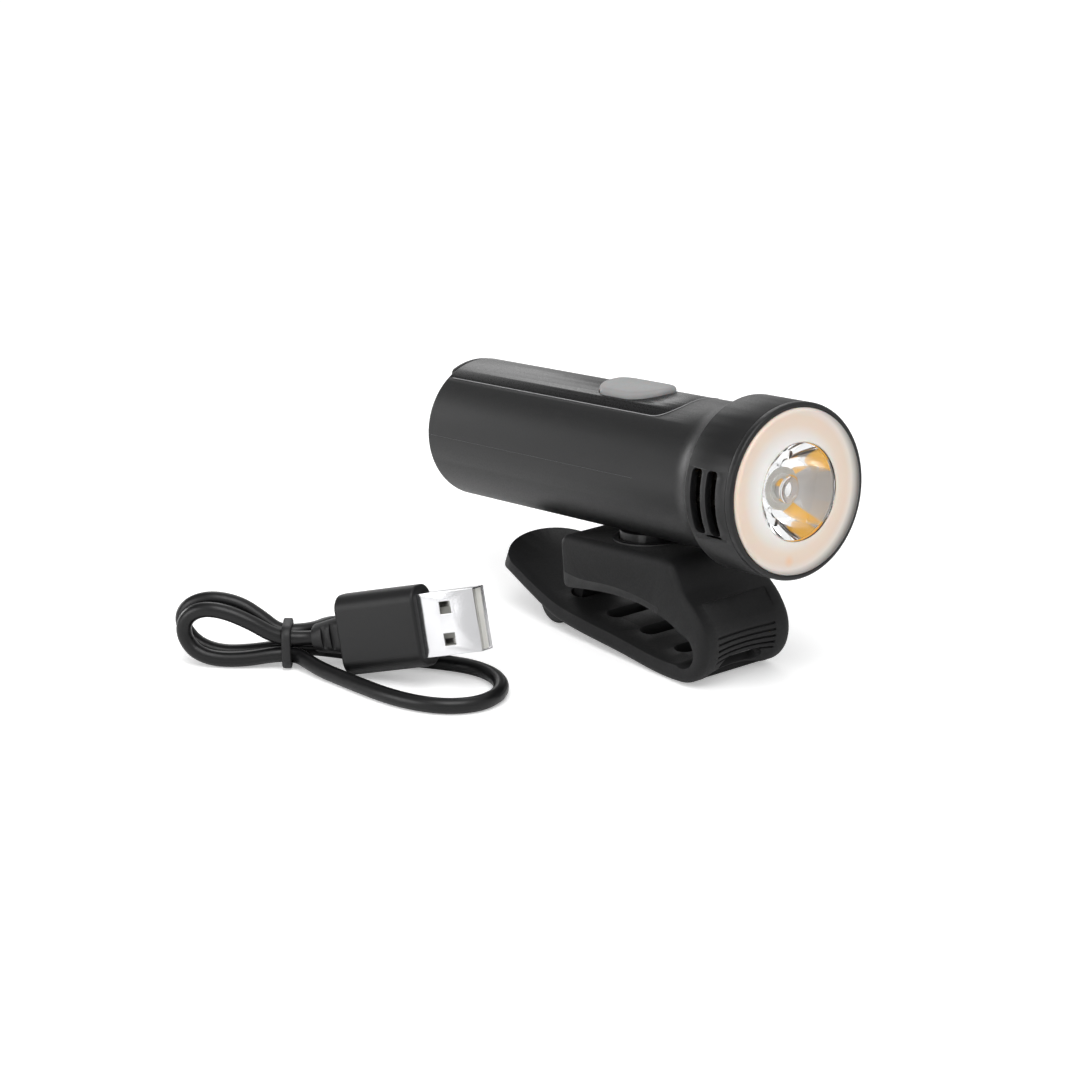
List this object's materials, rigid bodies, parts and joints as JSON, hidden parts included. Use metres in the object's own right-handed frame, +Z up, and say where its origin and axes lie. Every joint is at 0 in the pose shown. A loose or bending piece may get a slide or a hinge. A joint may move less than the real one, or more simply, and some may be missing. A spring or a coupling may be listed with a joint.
{
  "type": "bicycle headlight",
  "caption": "Rechargeable bicycle headlight with a ring lens, a stretch handlebar strap and its charge cable.",
  "frame": {"origin": "on the surface that the light stands on, under the middle of its length and width, cable left out", "axes": "-Y is the way the light shines, +Y its closed rear end, +Z up; the lamp stands about 6 degrees nose up on its strap"},
  "size_m": [0.0958, 0.0988, 0.0574],
  "materials": {
    "shell_black": "satin black moulded housing",
    "cover_black": "semi-gloss black strip",
    "button_grey": "grey translucent silicone",
    "core_nylon": "matte black glass-filled nylon",
    "strap_silicone": "matte black silicone",
    "opal_lens": "opal light-diffusing plastic",
    "clear_plastic": "clear polished acrylic, one solid lens",
    "holder_white": "white moulded plastic",
    "seal_rubber": "black rubber",
    "phosphor": "yellow phosphor under a clear dome",
    "amber_led": "amber diode packages",
    "white_board": "white solder mask on an aluminium board",
    "green_board": "green circuit board",
    "sink_metal": "dark anodised aluminium",
    "screw_steel": "zinc plated steel",
    "insert_brass": "turned brass",
    "cell_wrap": "blue shrink wrap on a steel can",
    "tab_nickel": "nickel strip",
    "cradle_plastic": "natural moulded plastic",
    "switch_plastic": "black moulded plastic",
    "plunger_plastic": "white moulded plastic",
    "socket_steel": "nickel plated steel",
    "port_rubber": "matte black silicone",
    "cable_jacket": "satin black cable jacket",
    "tie_rubber": "black rubber ring",
    "plug_jacket": "satin black overmould",
    "plug_steel": "bright nickel plated steel",
    "insert_plastic": "white moulded plastic",
    "contact_tin": "tin plated contacts"
  },
  "bodies": {
    "mount": {"mount_core": "core_nylon", "strap": "strap_silicone", "charge_cord": "cable_jacket", "cord_tie": "tie_rubber", "device_plug_grip": "plug_jacket", "device_plug_shell": "plug_steel", "usb_plug_contacts": "contact_tin", "usb_plug_grip": "plug_jacket", "usb_plug_insert": "insert_plastic", "usb_plug_shell": "plug_steel"},
    "lamp": {"battery_cell": "cell_wrap", "battery_cradle": "cradle_plastic", "battery_tabs": "tab_nickel", "board_screws": "screw_steel", "body_shell": "shell_black", "charge_socket": "socket_steel", "collimator": "clear_plastic", "driver_board": "green_board", "flap_anchor": "port_rubber", "front_bezel": "shell_black", "halo_board": "white_board", "halo_leds": "amber_led", "halo_lens": "opal_lens", "heat_sink": "sink_metal", "led_board": "white_board", "led_emitter": "phosphor", "lens_seal": "seal_rubber", "optic_holder": "holder_white", "pivot_insert": "insert_brass", "pivot_screw": "screw_steel", "pivot_washer": "screw_steel", "status_leds": "amber_led", "tact_switch": "switch_plastic", "top_cover": "cover_black"},
    "button": {"button_cap": "button_grey", "switch_plunger": "plunger_plastic"},
    "port_cover": {"port_cover": "port_rubber"}
  },
  "joints": [
    {"name": "lamp_swivel", "type": "hinge", "parent": "mount", "child": "lamp", "pos_m": [0, -0.00822, 0.02017], "axis": [0, 0.1008, 0.9949], "range_deg": [-15, 15]},
    {"name": "button_press", "type": "slide", "parent": "lamp", "child": "button", "axis": [0, -0.1008, -0.9949], "range_m": [0, 0.00045], "stiffness_N_per_m": 2500},
    {"name": "port_cover_hinge", "type": "hinge", "parent": "lamp", "child": "port_cover", "pos_m": [0, 0.0479, 0.03438], "axis": [-1, 0, 0], "range_deg": [0, 110]}
  ]
}
